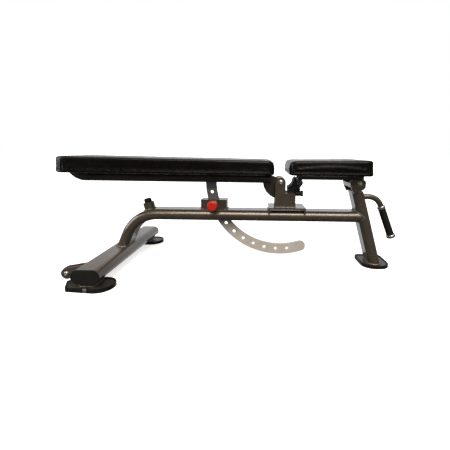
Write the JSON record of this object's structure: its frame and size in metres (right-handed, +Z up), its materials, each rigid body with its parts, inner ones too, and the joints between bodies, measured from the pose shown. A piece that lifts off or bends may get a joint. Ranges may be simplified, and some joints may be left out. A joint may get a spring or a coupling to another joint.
{
  "type": "adjustable weight bench",
  "caption": "Adjustable weight bench: hinged back pad with an index arc and pull pin, linked seat, flat-oval spine, wide foot with wheels, and a carry handle.",
  "frame": {"origin": "on the floor, under the middle of the bench's length and width", "axes": "+X from the head end to the handle end, +Y away from the plunger side, +Z up"},
  "size_m": [1.4254, 0.628, 0.455],
  "materials": {
    "frame_paint": "metallic grey-brown powder coat",
    "moving_paint": "dark metallic powder coat",
    "link_paint": "near-black blue gloss",
    "foot_plate_paint": "dark olive-grey satin",
    "black_rubber": "matte",
    "wheel_rubber": "matte",
    "cap_plastic": "matte",
    "zinc_steel": "zinc plated",
    "arc_steel": "satin, bare",
    "chrome_trim": "polished",
    "red_knob": "gloss",
    "bronze_bush": "oiled",
    "plywood": "unfinished",
    "black_vinyl": "glossy vinyl"
  },
  "bodies": {
    "base": {"cross_tube": "frame_paint", "cross_tube_caps": "cap_plastic", "spine_tube": "frame_paint", "leg_tube": "frame_paint", "head_foot_risers": "frame_paint", "head_foot_plates": "foot_plate_paint", "head_foot_boots": "black_rubber", "foot_clips": "zinc_steel", "leg_foot_plate": "foot_plate_paint", "leg_foot_boot": "black_rubber", "saddle_channel": "frame_paint", "tower_plate_near": "frame_paint", "tower_plate_far": "frame_paint", "seat_stop_buffers": "black_rubber", "back_pivot_bolt": "zinc_steel", "back_pivot_nut": "zinc_steel", "selector_housing": "frame_paint", "plunger_barrel": "zinc_steel", "plunger_spring": "zinc_steel", "stop_post": "frame_paint", "stop_buffer": "black_rubber", "seat_clevis": "frame_paint", "seat_pivot_bolt": "zinc_steel", "seat_pivot_nut": "zinc_steel", "handle_tube": "frame_paint", "handle_collar": "chrome_trim", "handle_grip": "black_rubber", "handle_end_cap": "chrome_trim", "wheel_arms": "frame_paint", "wheel_axles": "zinc_steel"},
    "back": {"back_frame_tube": "moving_paint", "back_hinge_cheeks": "moving_paint", "back_hinge_barrel": "moving_paint", "back_hinge_bushes": "bronze_bush", "index_arc": "arc_steel", "back_pad_brackets": "moving_paint", "back_pad_board": "plywood", "back_pad": "black_vinyl", "back_pad_screws": "zinc_steel"},
    "seat": {"seat_frame_tube": "moving_paint", "seat_hinge_barrel": "moving_paint", "seat_hinge_bushes": "bronze_bush", "seat_rear_lug": "moving_paint", "seat_pad_brackets": "moving_paint", "seat_pad_board": "plywood", "seat_pad": "black_vinyl", "seat_pad_screws": "zinc_steel"},
    "link": {"seat_link": "link_paint", "seat_link_bolt": "zinc_steel"},
    "selector": {"plunger_pin": "zinc_steel", "plunger_knob": "red_knob"},
    "near_wheel": {"wheel_near": "wheel_rubber"},
    "far_wheel": {"wheel_far": "wheel_rubber"}
  },
  "joints": [
    {"name": "back_hinge", "type": "hinge", "parent": "base", "child": "back", "pos_m": [0.202, 0, 0.363], "axis": [0, 1, 0], "range_deg": [0, 77.2]},
    {"name": "seat_hinge", "type": "hinge", "parent": "base", "child": "seat", "pos_m": [0.531, 0, 0.362], "axis": [0, -1, 0], "range_deg": [0, 11.2]},
    {"name": "link_hinge", "type": "hinge", "parent": "seat", "child": "link", "pos_m": [0.283, 0, 0.358], "axis": [0, 1, 0], "range_deg": [0, 11.2]},
    {"name": "pin_slide", "type": "slide", "parent": "base", "child": "selector", "axis": [0, 1, 0], "range_m": [0, 0.012]},
    {"name": "near_wheel_spin", "type": "hinge", "parent": "base", "child": "near_wheel", "pos_m": [-0.583, -0.23, 0.0405], "axis": [0, 1, 0], "continuous": true},
    {"name": "far_wheel_spin", "type": "hinge", "parent": "base", "child": "far_wheel", "pos_m": [-0.583, 0.23, 0.0405], "axis": [0, 1, 0], "continuous": true}
  ],
  "couplings": [
    {"joint": "seat_hinge", "follows": "back_hinge", "ratio": 0.1425},
    {"joint": "link_hinge", "follows": "back_hinge", "ratio": 0.1425}
  ]
}
